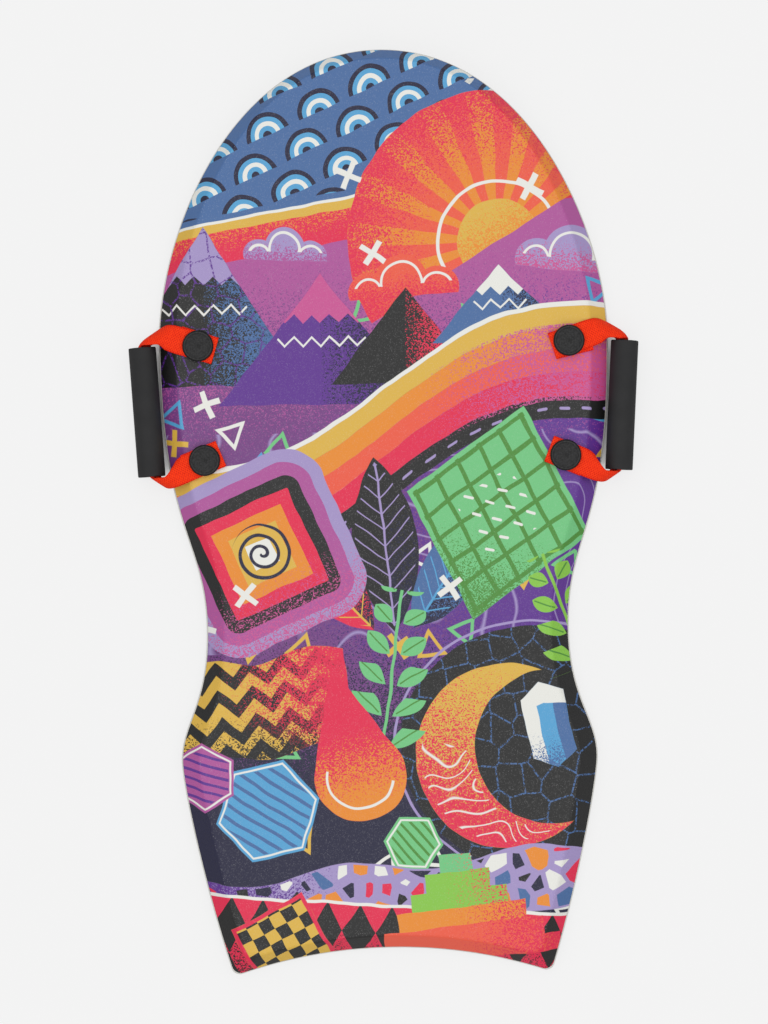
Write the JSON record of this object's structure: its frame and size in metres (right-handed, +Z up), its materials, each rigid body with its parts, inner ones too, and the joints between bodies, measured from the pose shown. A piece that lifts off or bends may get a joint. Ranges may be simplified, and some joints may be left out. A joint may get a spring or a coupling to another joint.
{
  "type": "snow sled",
  "caption": "Foam snow sled with an hourglass deck, slick base, upturned nose, hollowed tail and a swinging webbing handle with a tube grip on each side.",
  "frame": {"origin": "on the ground, under the middle of the board's length and width", "axes": "+Y towards the nose, +X towards the right-hand handle, +Z up out of the deck"},
  "size_m": [0.5096, 0.92, 0.0499],
  "materials": {
    "printed_film": "printed film with a fine pebbled, faintly sparkling surface",
    "foam": "closed-cell foam",
    "slick_film": "smooth slick sheet",
    "cap_plastic": "fine matte moulding",
    "screw_plastic": "fine matte moulding",
    "webbing": "flat woven webbing",
    "grip_foam": "smooth matte foam rubber",
    "liner_plastic": "plain extruded tube"
  },
  "bodies": {
    "board": {"deck_skin": "printed_film", "foam_core": "foam", "slick_base": "slick_film", "left_front_cap": "cap_plastic", "left_rear_cap": "cap_plastic", "right_front_cap": "cap_plastic", "right_rear_cap": "cap_plastic", "left_front_screw": "screw_plastic", "left_rear_screw": "screw_plastic", "right_front_screw": "screw_plastic", "right_rear_screw": "screw_plastic", "left_front_strap_end": "webbing", "left_rear_strap_end": "webbing", "right_front_strap_end": "webbing", "right_rear_strap_end": "webbing"},
    "left_handle": {"left_strap": "webbing"},
    "right_handle": {"right_strap": "webbing"},
    "left_grip": {"left_grip_sleeve": "grip_foam", "left_grip_liner": "liner_plastic"},
    "right_grip": {"right_grip_sleeve": "grip_foam", "right_grip_liner": "liner_plastic"}
  },
  "joints": [
    {"name": "right_handle_swing", "type": "hinge", "parent": "board", "child": "right_handle", "pos_m": [0.20201, 0.11009, 0.0336], "axis": [-0.0432, -0.9991, 0], "range_deg": [0, 130]},
    {"name": "left_handle_swing", "type": "hinge", "parent": "board", "child": "left_handle", "pos_m": [-0.20201, 0.11009, 0.0336], "axis": [-0.0432, 0.9991, 0], "range_deg": [0, 130]},
    {"name": "right_grip_spin", "type": "hinge", "parent": "right_handle", "child": "right_grip", "pos_m": [0.23726, 0.1033, 0.014], "axis": [0.0604, 0.9982, 0], "continuous": true},
    {"name": "left_grip_spin", "type": "hinge", "parent": "left_handle", "child": "left_grip", "pos_m": [-0.23726, 0.1033, 0.014], "axis": [-0.0604, 0.9982, 0], "continuous": true}
  ]
}
